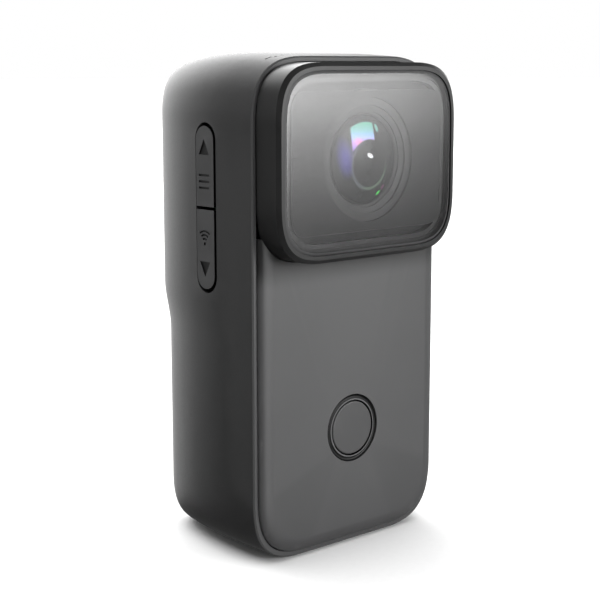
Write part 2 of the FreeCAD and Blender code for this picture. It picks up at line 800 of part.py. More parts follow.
def battery_door():
    plate = box(-DOOR_HALF, DOOR_HALF, DOOR_FRONT_Y, HINGE_Y, -1.0, DOOR_THICK)
    barrel = rod(BARREL_R, V(-DOOR_HALF, HINGE_Y, HINGE_Z), X_AXIS, 2 * DOOR_HALF)
    skin = OUTER.copy()
    skin.translate(V(0, 0, DOOR_RECESS))
    door = fuse([plate, barrel]).common(skin)
    door = door.cut(box(-3.25, 3.25, HINGE_Y - 2.3, HINGE_Y + 4, -2, 5))
    door = door.cut(rod(PIN_R + 0.05, V(-10.4, HINGE_Y, HINGE_Z), X_AXIS, 20.8))
    window = round_box(-3.0, 3.0, -7.6, -3.2, -1, 1.0, 0.8, Z_AXIS)
    pocket = box(-4.2, 4.2, -8.3, -2.7, 0.7, 1.36)
    mouth = box(-1.7, 1.7, DOOR_FRONT_Y - 0.5, -8.0, 0.7, 1.36)
    for cutter in (window, pocket, mouth):
        door = door.cut(cutter)
    return door


def door_seal():
    z0 = DOOR_THICK
    outer = round_box(-14.7, 14.9, -7.9, 6.2, z0, z0 + 0.26, 1.5, Z_AXIS)
    return outer.cut(round_box(-14.0, 14.2, -7.2, 5.5, z0 - 1, z0 + 1, 1.0, Z_AXIS))


def door_hinge_pin():
    return rod(PIN_R, V(-10.0, HINGE_Y, HINGE_Z), X_AXIS, 20.0)


def door_latch():
    pad = round_box(-2.8, 2.8, -5.7, -3.4, 0.32, 0.9, 0.6, Z_AXIS)
    flange = box(-4.0, 4.0, -6.5, -2.95, 0.76, 1.3)
    tongue = box(-1.5, 1.5, -8.45, -6.4, 0.76, 1.3)
    latch = fuse([pad, flange, tongue])
    for y in (-5.1, -4.5, -3.9):
        latch = latch.cut(box(-2.2, 2.2, y - 0.1, y + 0.1, 0, 0.45))
    return latch


# ------------------------------------------------------------------ display

def display_glass():
    return round_box(
        -DISPLAY_HALF + 0.15,
        DISPLAY_HALF - 0.15,
        16.85,
        17.5,
        DISPLAY_Z0 + 0.15,
        DISPLAY_Z1 - 0.15,
        2.4,
        Y_AXIS,
    )


def display_gasket():
    ring = round_box(-DISPLAY_HALF + 0.2, DISPLAY_HALF - 0.2, 16.75, 16.85, DISPLAY_Z0 + 0.2,
                     DISPLAY_Z1 - 0.2, 2.3, Y_AXIS)
    return ring.cut(box(-10.6, 10.6, 15, 18, DISPLAY_Z0 + 1.2, DISPLAY_Z1 - 1.2))


def display_panel():
    return round_box(-10.2, 10.2, 15.4, 16.75, DISPLAY_Z0 + 1.5, DISPLAY_Z1 - 1.5, 1.2, Y_AXIS)


def display_frame():
    tray = round_box(-10.4, 10.4, 14.4, 15.4, DISPLAY_Z0 + 1.4, DISPLAY_Z1 - 1.4, 1.6, Y_AXIS)
    return tray.cut(box(-8.5, 8.5, 13, 15.0, DISPLAY_Z0 + 3.5, DISPLAY_Z1 - 3.5))


def display_flex():
    return fuse([
        box(-5, 5, 14.0, 14.2, 50, 62),
        box(-5, 5, 10.4, 14.2, 49.8, 50.0),
        box(-5, 5, MAIN_BOARD_Y + 0.8, 10.6, 49.8, 52.0),
    ])


# ------------------------------------------------------------------ electronics

def main_board():
    board = round_box(-14.3, 14.3, MAIN_BOARD_Y, MAIN_BOARD_Y + 0.8, 8.0, 73.5, 2.0, Y_AXIS)
    for x, z in BOARD_SCREWS:
        board = board.cut(rod_y(0.65, x, z, 5, 12))
    return board


def board_screws():
    screws = []
    for x, z in BOARD_SCREWS:
        head = rod_y(1.3, x, z, MAIN_BOARD_Y + 0.8, MAIN_BOARD_Y + 1.5)
        shank = rod_y(0.6, x, z, MAIN_BOARD_Y - 3.0, MAIN_BOARD_Y + 0.9)
        slot = box(x - 0.9, x + 0.9, MAIN_BOARD_Y + 1.2, 15, z - 0.15, z + 0.15)
        screws.append(fuse([head, shank]).cut(slot))
    return Part.makeCompound(screws)


def processor_chip():
    return box(-6.5, 5.5, MAIN_BOARD_Y - 1.2, MAIN_BOARD_Y, 53.0, 65.0)


def memory_chip():
    return box(-6.0, 4.0, MAIN_BOARD_Y - 1.0, MAIN_BOARD_Y, 37.0, 44.0)


def radio_module():
    return box(5.5, 10.5, MAIN_BOARD_Y - 1.6, MAIN_BOARD_Y, 42.0, 48.5)


def shield_can():
    can = box(-8.0, 7.0, MAIN_BOARD_Y - 2.0, MAIN_BOARD_Y, 51.0, 67.0)
    return can.cut(box(-7.8, 6.8, MAIN_BOARD_Y - 1.8, 12, 51.2, 66.8))


def heat_spreader():
    return box(-9.0, 8.0, MAIN_BOARD_Y - 2.6, MAIN_BOARD_Y - 2.0, 50.5, 67.5)


def io_board():
    return box(11.8, 12.6, -6.6, 6.4, FLOOR_TOP_Z + 0.1, 26.0)


def usb_port():
    r = 1.3
    shell = round_box(PORT_X0, PORT_X1, PORT_Y0, PORT_Y1, 2.6, 10.0, r, Z_AXIS)
    inside = round_box(PORT_X0 + 0.3, PORT_X1 - 0.3, PORT_Y0 + 0.3, PORT_Y1 - 0.3, 2.5, 9.2, 1.0, Z_AXIS)
    middle = (PORT_X0 + PORT_X1) / 2
    tongue = box(middle - 0.35, middle + 0.35, PORT_Y0 + 1.2, PORT_Y1 - 1.2, 3.4, 9.4)
    tab = box(PORT_X1 - 0.1, 11.8, PORT_Y0 + 2, PORT_Y1 - 2, 6.0, 9.5)
    return fuse([shell.cut(inside), tongue, tab])


def card_socket():
    shell = box(12.6, 14.9, -6.4, 5.6, FLOOR_TOP_Z + 0.2, 20.0)
    return shell.cut(box(13.1, 14.35, -5.85, 5.25, 0, 19.4))


def memory_card():
    card = box(13.25, 14.15, -5.75, 5.15, 4.0, 19.0)
    return card.cut(box(13.0, 13.55, -5.2, 4.6, 3.5, 4.5))


def speaker():
    return rod(4.2, V(14.4, SPEAKER_Y, SPEAKER_Z), X_AXIS, 2.6)


def microphones():
    return Part.makeCompound([
        box(-14.9, -13.1, -9.25, -8.45, 74.0, 75.2),
        box(13.4, 15.2, -6.9, -4.9, 66.0, 67.0),
    ])


def status_light():
    return rod(0.38, V(-11.4, -8.86, 74.8), Z_AXIS, 2.4)


def magnets():
    return Part.makeCompound([rod_y(4.5, 0, z, 13.0, INNER_BACK_Y) for z in MAGNET_Z])


# ------------------------------------------------------------------ write every part

OUTER = outer_body()

PARTS = {
    "body_shell": body_shell,
    "front_panel": front_panel,
    "lens_housing": lens_housing,
    "cover_glass": cover_glass,
    "glass_gasket": glass_gasket,
    "window_mask": window_mask,
    "surround_plate": surround_plate,
    "lens_surround": lens_surround,
    "lens_retaining_ring": lens_retaining_ring,
    "lens_barrel": lens_barrel,
    "lens_front_element": lens_front_element,
    "lens_second_element": lens_second_element,
    "lens_aperture": lens_aperture,
    "lens_rear_element": lens_rear_element,
    "lens_holder": lens_holder,
    "ir_filter": ir_filter,
    "filter_frame": filter_frame,
    "image_sensor": image_sensor,
    "sensor_board": sensor_board,
    "sensor_screws": sensor_screws,
    "sensor_flex": sensor_flex,
    "record_button": record_button,
    "record_button_ring": record_button_ring,
    "record_button_seal": record_button_seal,
    "record_switch": record_switch,
    "record_board": record_board,
    "side_key_upper": lambda: side_key(True),
    "side_key_lower": lambda: side_key(False),
    "side_key_seal": side_key_seal,
    "side_switches": side_switches,
    "side_switch_board": side_switch_board,
    "chassis": chassis,
    "battery_tray": battery_tray,
    "battery": battery,
    "battery_contacts": battery_contacts,
    "battery_door": battery_door,
    "door_seal": door_seal,
    "door_hinge_pin": door_hinge_pin,
    "door_latch": door_latch,
    "display_glass": display_glass,
    "display_gasket": display_gasket,
    "display_panel": display_panel,
    "display_frame": display_frame,
    "display_flex": display_flex,
    "main_board": main_board,
    "board_screws": board_screws,
    "processor_chip": processor_chip,
    "memory_chip": memory_chip,
    "radio_module": radio_module,
    "shield_can": shield_can,
    "heat_spreader": heat_spreader,
    "io_board": io_board,
    "usb_port": usb_port,
    "card_socket": card_socket,
    "memory_card": memory_card,
    "speaker": speaker,
    "microphones": microphones,
    "status_light": status_light,
    "magnets": magnets,
}

os.makedirs("parts", exist_ok=True)
for name, make in PARTS.items():
    shape = make()
    solids = shape.Solids
    b = shape.BoundBox
    print(f"{name:22s} solids {len(solids)} valid {shape.isValid()} volume {shape.Volume:9.1f} "
          f"x {b.XMin:6.2f} {b.XMax:6.2f} y {b.YMin:6.2f} {b.YMax:6.2f} z {b.ZMin:6.2f} {b.ZMax:6.2f}")
    shape.exportStep(f"parts/{name}.step")
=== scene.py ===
import json
import math

import bmesh
import bpy
from mathutils import Matrix, Vector


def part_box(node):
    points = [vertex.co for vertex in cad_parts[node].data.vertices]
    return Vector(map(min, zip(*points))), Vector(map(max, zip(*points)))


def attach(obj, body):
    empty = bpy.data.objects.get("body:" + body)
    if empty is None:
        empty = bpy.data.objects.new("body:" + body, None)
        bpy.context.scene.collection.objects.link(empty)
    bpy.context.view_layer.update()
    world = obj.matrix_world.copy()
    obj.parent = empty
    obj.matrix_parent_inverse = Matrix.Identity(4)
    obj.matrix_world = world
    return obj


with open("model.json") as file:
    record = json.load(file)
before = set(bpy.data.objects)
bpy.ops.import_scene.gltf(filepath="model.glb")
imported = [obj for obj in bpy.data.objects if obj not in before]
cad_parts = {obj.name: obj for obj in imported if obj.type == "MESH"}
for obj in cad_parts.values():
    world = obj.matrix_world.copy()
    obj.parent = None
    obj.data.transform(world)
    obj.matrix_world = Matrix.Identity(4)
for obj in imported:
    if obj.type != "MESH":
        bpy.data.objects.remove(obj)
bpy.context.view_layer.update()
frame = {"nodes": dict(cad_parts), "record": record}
nodes = frame["nodes"]
MM = 0.001


# ------------------------------------------------------------------ shader helpers

def new_material(name):
    mat = bpy.data.materials.new(name)
    mat.use_nodes = True
    tree = mat.node_tree
    bsdf = tree.nodes["Principled BSDF"]
    return mat, tree, bsdf


def noise(tree, scale, detail=3.0, rough=0.5):
    """Noise in the object's own coordinates."""
    coord = tree.nodes.new("ShaderNodeTexCoord")
    tex = tree.nodes.new("ShaderNodeTexNoise")
    tex.inputs["Scale"].default_value = scale
    tex.inputs["Detail"].default_value = detail
    tex.inputs["Roughness"].default_value = rough
    tree.links.new(coord.outputs["Object"], tex.inputs["Vector"])
    return tex.outputs["Fac"]


def ramp(tree, source, stops):
    """Colour ramp through (place, colour) stops."""
    node = tree.nodes.new("ShaderNodeValToRGB")
    while len(node.color_ramp.elements) < len(stops):
        node.color_ramp.elements.new(0.5)
    for element, (place, color) in zip(node.color_ramp.elements, stops):
        element.position = place
        element.color = (*color, 1.0)
    tree.links.new(source, node.inputs["Fac"])
    return node.outputs["Color"]


def math_node(tree, operation, *sources):
    """One Math node; each source is a socket or a number."""
    node = tree.nodes.new("ShaderNodeMath")
    node.operation = operation
    for socket, source in zip(node.inputs, sources):
        if isinstance(source, (int, float)):
            socket.default_value = source
        else:
            tree.links.new(source, socket)
    return node.outputs["Value"]


def spread(tree, value, low, high):
    """Map a value that runs from 0 to 1 onto low to high."""
    node = tree.nodes.new("ShaderNodeMapRange")
    node.inputs["To Min"].default_value = low
    node.inputs["To Max"].default_value = high
    tree.links.new(value, node.inputs["Value"])
    return node.outputs["Result"]


def step(tree, value, start, end):
    """Smooth step: 0 where value is at start, 1 where it is at end."""
    node = tree.nodes.new("ShaderNodeMapRange")
    node.interpolation_type = "SMOOTHSTEP"
    node.inputs["From Min"].default_value = start
    node.inputs["From Max"].default_value = end
    tree.links.new(value, node.inputs["Value"])
    return node.outputs["Result"]


def blend_color(tree, factor, below, above):
    """Colour mix; below and above are sockets or colours."""
    node = tree.nodes.new("ShaderNodeMix")
    node.data_type = "RGBA"
    tree.links.new(factor, node.inputs["Factor"])
    for key, value in (("A", below), ("B", above)):
        if isinstance(value, tuple):
            node.inputs[key].default_value = (*value, 1.0)
        else:
            tree.links.new(value, node.inputs[key])
    return node.outputs["Result"]


def position(tree):
    """X, Y and Z of the surface point in metres, in the object's own frame."""
    coord = tree.nodes.new("ShaderNodeTexCoord")
    split = tree.nodes.new("ShaderNodeSeparateXYZ")
    tree.links.new(coord.outputs["Object"], split.inputs["Vector"])
    return split.outputs


def distance(tree, x, z, cx, cz, stretch=1.0, turn=0.0):
    """Distance in metres from (cx, cz); stretch > 1 squeezes it across the turned long axis."""
    dx = math_node(tree, "SUBTRACT", x, cx)
    dz = math_node(tree, "SUBTRACT", z, cz)
    along = math_node(tree, "ADD", math_node(tree, "MULTIPLY", dx, math.cos(turn)),
                      math_node(tree, "MULTIPLY", dz, math.sin(turn)))
    across = math_node(tree, "SUBTRACT", math_node(tree, "MULTIPLY", dz, math.cos(turn) * stretch),
                       math_node(tree, "MULTIPLY", dx, math.sin(turn) * stretch))
    square = math_node(tree, "ADD", math_node(tree, "MULTIPLY", along, along),
                       math_node(tree, "MULTIPLY", across, across))
    return math_node(tree, "SQRT", square)


def grey(v):
    """Neutral tone with a trace of blue."""
    return (v, v, v * 1.02)


# ------------------------------------------------------------------ material kinds

DRIFT_SCALE = 90.0          # slow colour drift over a moulding
WORN_GAIN = 1.7             # worn edges are lighter by this factor ...
WORN_LIFT = 0.02            # ... and this much on top
GRAIN_DEPTH = 0.04 * MM
COAT_ROUGH = 0.12


def plastic(name, color, rough=0.45, grain=2600.0, bump=0.12, vary=0.12, wear=0.25, coat=0.0,
            specular=0.5):
    """Moulded plastic: fine grain in bump and roughness, slow colour drift, lighter on worn edges."""
    mat, tree, bsdf = new_material(name)
    fine = noise(tree, grain, 2.0, 0.6)
    slow = noise(tree, DRIFT_SCALE, 4.0, 0.55)
    dark = tuple(c * (1 - vary) for c in color)
    light = tuple(c * (1 + vary) for c in color)
    worn = tuple(min(1.0, c * WORN_GAIN + WORN_LIFT) for c in color)
    base = ramp(tree, slow, [(0.3, dark), (0.7, light)])
    geo = tree.nodes.new("ShaderNodeNewGeometry")
    edge = ramp(tree, geo.outputs["Pointiness"], [(0.52, (0, 0, 0)), (0.62, (wear, wear, wear))])
    tree.links.new(blend_color(tree, edge, base, worn), bsdf.inputs["Base Color"])
    tree.links.new(spread(tree, fine, rough - 0.05, rough + 0.06), bsdf.inputs["Roughness"])
    relief = tree.nodes.new("ShaderNodeBump")
    relief.inputs["Strength"].default_value = bump
    relief.inputs["Distance"].default_value = GRAIN_DEPTH
    tree.links.new(fine, relief.inputs["Height"])
    tree.links.new(relief.outputs["Normal"], bsdf.inputs["Normal"])
    bsdf.inputs["Specular IOR Level"].default_value = specular
    bsdf.inputs["Coat Weight"].default_value = coat
    bsdf.inputs["Coat Roughness"].default_value = COAT_ROUGH
    return mat


def metal(name, color, rough=0.28, scale=(1, 1, 60)):
    """Brushed or plated metal: streaks along one direction in roughness and tone."""
    mat, tree, bsdf = new_material(name)
    coord = tree.nodes.new("ShaderNodeTexCoord")
    mapping = tree.nodes.new("ShaderNodeMapping")
    mapping.inputs["Scale"].default_value = scale
    tex = tree.nodes.new("ShaderNodeTexNoise")
    tex.inputs["Scale"].default_value = 160.0
    tex.inputs["Detail"].default_value = 5.0
    tree.links.new(coord.outputs["Object"], mapping.inputs["Vector"])
    tree.links.new(mapping.outputs["Vector"], tex.inputs["Vector"])
    streaks = tex.outputs["Fac"]
    base = ramp(tree, streaks, [(0.3, tuple(c * 0.82 for c in color)), (0.7, color)])
    tree.links.new(base, bsdf.inputs["Base Color"])
    tree.links.new(spread(tree, streaks, rough - 0.08, rough + 0.12), bsdf.inputs["Roughness"])
    bsdf.inputs["Metallic"].default_value = 1.0
    return mat


def glass(name, specular):
    """Clear glass: a see-through surface with faint smears in its polish."""
    mat, tree, bsdf = new_material(name)
    smear = noise(tree, 220.0, 5.0, 0.6)
    tree.links.new(spread(tree, smear, 0.01, 0.03), bsdf.inputs["Roughness"])
    base = ramp(tree, smear, [(0.3, (0.96, 0.96, 0.96)), (0.7, (1, 1, 1))])
    tree.links.new(base, bsdf.inputs["Base Color"])
    bsdf.inputs["IOR"].default_value = 1.5
    bsdf.inputs["Transmission Weight"].default_value = 1.0
    bsdf.inputs["Specular IOR Level"].default_value = specular
    return mat


# ------------------------------------------------------------------ materials

DARK_GLASS = (0.003, 0.004, 0.005)

MATS = {
    "shell": plastic("shell", grey(0.014), rough=0.42, grain=3000),
    "panel": plastic("panel", grey(0.05), rough=0.4, grain=3500, bump=0.06, vary=0.04),
    "hood": plastic("hood", grey(0.008), rough=0.3, grain=3000, bump=0.05, vary=0.1, specular=0.4),
    "button": plastic("button", grey(0.05), rough=0.4, grain=3500, bump=0.06, vary=0.05),
    "button_ring": plastic("button_ring", grey(0.006), rough=0.4, grain=3500, bump=0.05, vary=0.05,
                           specular=0.25),
    "lens_collar": plastic("lens_collar", grey(0.045), rough=0.45, grain=1500, bump=0.05, wear=0.0,
                           specular=0.2),
    "surround": plastic("surround", grey(0.03), rough=0.6, grain=1200, bump=0.03, wear=0.0,
                        specular=0.1),
    "key": plastic("key", grey(0.038), rough=0.42, grain=3000),
    "behind_glass": plastic("behind_glass", grey(0.004), rough=0.6, grain=1200, bump=0.03, wear=0.0,
                            specular=0.1),
    "black_trim": plastic("black_trim", grey(0.012), rough=0.5, grain=2000, bump=0.1),
    "inner_plastic": plastic("inner_plastic", grey(0.03), rough=0.55, grain=1500, bump=0.25),
    "rubber": plastic("rubber", grey(0.015), rough=0.75, grain=1800, bump=0.3),
    "chip": plastic("chip", grey(0.02), rough=0.6, grain=2500, bump=0.2),
    "card": plastic("card", grey(0.02), rough=0.35, grain=2500, bump=0.08),
    "battery_wrap": plastic("battery_wrap", (0.03, 0.035, 0.045), rough=0.3, grain=900, bump=0.08),
    "circuit_board": plastic("circuit_board", (0.01, 0.09, 0.035), rough=0.35, grain=700, bump=0.3,
                             vary=0.3),
    "flex": plastic("flex", (0.35, 0.14, 0.02), rough=0.35, grain=900, bump=0.1),
    "sensor": plastic("sensor", (0.03, 0.05, 0.07), rough=0.1, grain=4000, bump=0.05, coat=1.0),
    "light_guide": plastic("light_guide", (0.6, 0.65, 0.6), rough=0.3, grain=1500, bump=0.1),
    "display_panel": plastic("display_panel", grey(0.01), rough=0.15, grain=4000, bump=0.02),
    "display_glass": plastic("display_glass", grey(0.004), rough=0.06, grain=300, bump=0.0, vary=0.1,
                             wear=0.0, coat=1.0),
    "steel": metal("steel", (0.55, 0.55, 0.56)),
    "aluminium": metal("aluminium", (0.62, 0.62, 0.63), rough=0.42, scale=(1, 1, 1)),
    "lens_metal": metal("lens_metal", (0.02, 0.02, 0.021), rough=0.38, scale=(1, 40, 1)),
    "contact_metal": metal("contact_metal", (0.8, 0.55, 0.2), rough=0.25),
    "magnet": metal("magnet", (0.7, 0.7, 0.72), rough=0.18),
    "cover_glass": glass("cover_glass", specular=0.66),
    "lens_glass": plastic("lens_glass", DARK_GLASS, rough=0.06, grain=400, bump=0.0, wear=0.0,
                          specular=0.1),
    "lens_inner": plastic("lens_inner", DARK_GLASS, rough=0.08, grain=400, bump=0.0, wear=0.0,
                          specular=0.12),
}

# Nodes that look different from the rest of their slot.
LOOKS = {
    "lens_housing": "hood",
    "record_button_ring": "button_ring",
    "surround_plate": "surround",
    "window_mask": "surround",
    "lens_surround": "lens_collar",
    "glass_gasket": "surround",
    "lens_retaining_ring": "behind_glass",
    "lens_second_element": "lens_inner",
    "lens_rear_element": "lens_inner",
}


def dress_nodes():
    """Give every CAD node its material."""
    slots = {part["node"]: part["material_slot"] for part in frame["record"]["subparts"]}
    for name, obj in nodes.items():
        mat = MATS[LOOKS.get(name, slots[name])]
        if not obj.data.materials:
            obj.data.materials.append(mat)
        for slot in obj.material_slots:
            slot.material = mat


# ------------------------------------------------------------------ painted shade and highlights

def repaint(name, make_mask, color):
    """Lay another colour over a finished plastic where the mask is 1."""
    tree = MATS[name].node_tree
    socket = tree.nodes["Principled BSDF"].inputs["Base Color"]
    old = socket.links[0].from_socket
    tree.links.new(blend_color(tree, make_mask(tree), old, color), socket)


def fade(axis, start, end):
    """Mask along one axis: 0 at start, 1 at end."""
    return lambda tree: step(tree, position(tree)[axis], start, end)


# The front edge of the body shell is painted in the panel's lighter grey: partly its satin finish, partly a
# painted highlight line along the rim.
RIM_BACK_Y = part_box("body_shell")[0][1] + 0.2 * MM
repaint("shell", fade("Y", RIM_BACK_Y + 0.05 * MM, RIM_BACK_Y), grey(0.05))

# Painted shade: everything deeper than the key face is blacked in, so the marks and the side walls read as
# shaded.
KEY_FACE_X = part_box("side_key_upper")[0][0]
repaint("key", fade("X", KEY_FACE_X + 0.04 * MM, KEY_FACE_X + 0.1 * MM), grey(0.0012))

# Painted shadow: the panel darkens just under the lens housing.
SHADE_DEPTH = 4.2 * MM
HOUSING_LOW_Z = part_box("lens_housing")[0][2]
repaint("panel", fade("Z", HOUSING_LOW_Z - SHADE_DEPTH, HOUSING_LOW_Z), grey(0.012))

# Record button ring: a painted highlight on the crest, then painted shade in the groove inside it and on the
# line outside.
BUTTON_Z = sum(corner[2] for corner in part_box("record_button")) / 2
RING_HIGHLIGHT_AND_SHADE_BANDS = [(4.90, 4.80, 0.13), (4.70, 4.64, 0.002), (5.25, 5.37, 0.002)]


def ring_fade(start, end):
    """Mask by distance from the button's axis, in mm: 0 at start, 1 at end."""
    def mask(tree):
        xyz = position(tree)
        radius = distance(tree, xyz["X"], xyz["Z"], 0.0, BUTTON_Z)
        return step(tree, radius, start * MM, end * MM)
    return mask


for band_start, band_end, tone in RING_HIGHLIGHT_AND_SHADE_BANDS:
    repaint("button_ring", ring_fade(band_start, band_end), grey(tone))

dress_nodes()


# ------------------------------------------------------------------ mesh helpers

def make_mesh(name, source, smooth):
    """Turn a bmesh into a mesh and free it."""
    bmesh.ops.recalc_face_normals(source, faces=source.faces)
    mesh = bpy.data.meshes.new(name)
    source.to_mesh(mesh)
    source.free()
    for face in mesh.polygons:
        face.use_smooth = smooth
    return mesh


def bridge(target, first, second):
    """Faces between two closed loops of as many vertices."""
    for k in range(len(first)):
        following = (k + 1) % len(first)
        target.faces.new((first[k], first[following], second[following], second[k]))


def add_object(name, data, mat):
    obj = bpy.data.objects.new(name, data)
    bpy.context.collection.objects.link(obj)
    data.materials.append(mat)
    return obj


def soft_rectangle(low, high, r, y, power):
    """Points of a soft-cornered rectangle in an XZ plane; low and high are (x, z) corners."""
    centres = ((high[0] - r, high[1] - r), (low[0] + r, high[1] - r),
               (low[0] + r, low[1] + r), (high[0] - r, low[1] + r))
    corner_steps = 16
    points = []
    for quarter, (cx, cz) in enumerate(centres):
        for i in range(corner_steps + 1):
            angle = math.pi / 2 * (quarter + i / corner_steps)
            across = math.cos(angle)
            up = math.sin(angle)
            dx = math.copysign(abs(across) ** (2 / power), across) * r
            dz = math.copysign(abs(up) ** (2 / power), up) * r
            points.append((cx + dx, y, cz + dz))
    return points


# ------------------------------------------------------------------ painted lens reflections

LENS_LOW, LENS_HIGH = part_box("lens_front_element")
LENS_APEX_Y = LENS_LOW[1]
LENS_Z = (LENS_LOW[2] + LENS_HIGH[2]) / 2
LENS_R = (LENS_HIGH[2] - LENS_LOW[2]) / 2
LENS_SAG = 1.1 * MM
REFLECTION_CAP_LIFT = 0.02 * MM
REFLECTION_CAP_MARGIN = 0.05 * MM
REFLECTION_CAP_RINGS = 24
REFLECTION_CAP_SIDES = 96


def reflection_cap_mesh():
    """Domed cap that follows the front of the lens, a hair above it, to carry the painted reflections."""
    ball = (LENS_R ** 2 + LENS_SAG ** 2) / (2 * LENS_SAG)
    cap = bmesh.new()
    rings = []
    for i in range(1, REFLECTION_CAP_RINGS + 1):
        r = (LENS_R - REFLECTION_CAP_MARGIN) * i / REFLECTION_CAP_RINGS
        y = LENS_APEX_Y + ball - math.sqrt(ball * ball - r * r) - REFLECTION_CAP_LIFT
        ring = []
        for k in range(REFLECTION_CAP_SIDES):
            angle = 2 * math.pi * k / REFLECTION_CAP_SIDES
            ring.append(cap.verts.new((r * math.cos(angle), y, LENS_Z + r * math.sin(angle))))
        rings.append(ring)
    centre = cap.verts.new((0, LENS_APEX_Y - REFLECTION_CAP_LIFT, LENS_Z))
    for k in range(REFLECTION_CAP_SIDES):
        cap.faces.new((centre, rings[0][k], rings[0][(k + 1) % REFLECTION_CAP_SIDES]))
    for inner, outer in zip(rings, rings[1:]):
        bridge(cap, inner, outer)
    return make_mesh("lens_painted_reflections", cap, smooth=True)


# Painted reflection spots on the lens cap: centre x and z from the lens axis and radius in mm, how much
# longer than wide, turn in degrees, softness of the edge, colour.
TEAL_REFLECTION = (2.45, 4.85, 0.85, 2.0, 110, 0.5, (0.13, 0.36, 0.31))
GREEN_REFLECTION = (3.15, -5.45, 0.75, 2.2, 35, 0.7, (0.05, 0.62, 0.08))
LOWER_ROSE_REFLECTION = (4.1, -4.6, 0.7, 1.5, 50, 0.9, (0.10, 0.02, 0.07))
HIGHLIGHT = (0.5, 0.6, 0.8, 2.0, -24, 0.35, (0.95, 0.97, 0.97))
VIOLET_REFLECTION = (-4.4, 0.4, 4.0, 2.0, 100, 0.95, (0.055, 0.045, 0.26))
GLINT_ROSE_REFLECTION = (-1.6, 2.7, 1.3, 1.5, -30, 0.8, (0.85, 0.35, 0.62))

# Colours of the painted window glint from low to high, by height over GLINT_SPAN.
GLINT_SPAN = 6.0 * MM
GLINT_COLORS = [(0.25, (0.34, 0.22, 0.62)), (0.45, (0.62, 0.36, 0.75)), (0.58, (0.42, 0.55, 0.95)),
                (0.72, (0.24, 0.52, 0.56)), (0.92, (0.12, 0.42, 0.33))]


def painted_reflection_material():
    """Painted reflections of a multi-coated lens: violet rim glow, teal to rose window glint, green echo,
    faint inner ring.
    """
    mat, tree, bsdf = new_material("lens_painted_reflections")
    xyz = position(tree)
    x = xyz["X"]
    z = math_node(tree, "SUBTRACT", xyz["Z"], LENS_Z)

    def both(a, b):
        return math_node(tree, "MULTIPLY", a, b)

    def fade_mm(value, start, end):
        return step(tree, value, start * MM, end * MM)

    def radius_from(cx, cz):
        return distance(tree, x, z, cx * MM, cz * MM)

    def spot_mask(spot):
        cx, cz, radius, stretch, turn, soft, _ = spot
        away = distance(tree, x, z, cx * MM, cz * MM, stretch, math.radians(turn))
        return fade_mm(away, radius, radius * (1 - soft))

    speckle = noise(tree, 700.0, 4.0, 0.6)
    color = ramp(tree, speckle, [(0.3, (0.003, 0.0035, 0.004)), (0.7, (0.005, 0.0055, 0.006))])

    # painted reflection of the inner element: a slightly lighter ring, brightest and greenish at the bottom
    inner = radius_from(0.6, -0.8)
    ring = both(fade_mm(inner, 3.4, 3.8), fade_mm(inner, 4.2, 3.85))
    color = blend_color(tree, both(ring, fade_mm(z, 0.5, -4.0)), color, (0.075, 0.12, 0.08))
    color = blend_color(tree, both(ring, fade_mm(x, 1.0, -2.0)), color, (0.06, 0.06, 0.085))

    # painted violet reflection down the left, outside the inner ring
    violet = both(spot_mask(VIOLET_REFLECTION), fade_mm(inner, 3.7, 4.0))
    color = blend_color(tree, violet, color, VIOLET_REFLECTION[-1])

    # painted window glint between the inner ring and the rim
    field = both(fade_mm(x, -3.3, -3.0), fade_mm(x, 1.8, 1.5))
    field = both(field, fade_mm(radius_from(0.0, 0.0), 6.0, 5.7))
    field = both(field, fade_mm(z, 1.1, 1.9))
    field = both(field, fade_mm(radius_from(0.5, -1.0), 4.0, 4.3))
    glint = ramp(tree, math_node(tree, "DIVIDE", z, GLINT_SPAN), GLINT_COLORS)
    glint = blend_color(tree, spot_mask(GLINT_ROSE_REFLECTION), glint, GLINT_ROSE_REFLECTION[-1])
    color = blend_color(tree, field, color, glint)

    # painted reflection spots and the painted highlight
    for spot in (TEAL_REFLECTION, GREEN_REFLECTION, LOWER_ROSE_REFLECTION, HIGHLIGHT):
        color = blend_color(tree, spot_mask(spot), color, spot[-1])

    tree.links.new(color, bsdf.inputs["Base Color"])
    # the painted reflections also glow: emission in their own colour
    tree.links.new(color, bsdf.inputs["Emission Color"])
    bsdf.inputs["Emission Strength"].default_value = 0.35
    tree.links.new(spread(tree, speckle, 0.03, 0.08), bsdf.inputs["Roughness"])
    bsdf.inputs["Specular IOR Level"].default_value = 0.1
    return mat


painted_reflections = add_object("lens_painted_reflections", reflection_cap_mesh(), painted_reflection_material())
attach(painted_reflections, "housing")


# ------------------------------------------------------------------ edge of the window mask

BEAD_THICKNESS = 0.16 * MM
BEAD_CORNER = 3.4 * MM
BEAD_SINK = 0.12 * MM


def window_bead():
    """Fine rounded bead along the outer edge of the window mask."""
    low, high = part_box("window_mask")
    points = soft_rectangle((low[0], low[2]), (high[0], high[2]), BEAD_CORNER, low[1] + BEAD_SINK, 3.0)
    curve = bpy.data.curves.new("window_edge", "CURVE")
    curve.dimensions = "3D"
    curve.bevel_depth = BEAD_THICKNESS / 2
    curve.bevel_resolution = 3
    spline = curve.splines.new("POLY")
    spline.points.add(len(points) - 1)
    for target, point in zip(spline.points, points):
        target.co = (*point, 1.0)
    spline.use_cyclic_u = True
    return curve


bead_look = plastic("window_bead", grey(0.11), rough=0.4, grain=1500, bump=0.02, wear=0.0, specular=0.2)
window_edge = add_object("window_edge", window_bead(), bead_look)
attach(window_edge, "housing")


# ------------------------------------------------------------------ border of the cover glass

GLASS_CORNER = 9.7 * MM
GLASS_POWER = 3.3
BORDER_PROFILE = [(-0.08, 0.20), (0.0, 0.17), (0.35, -0.02), (0.40, -0.02)]    # inset and depth, mm


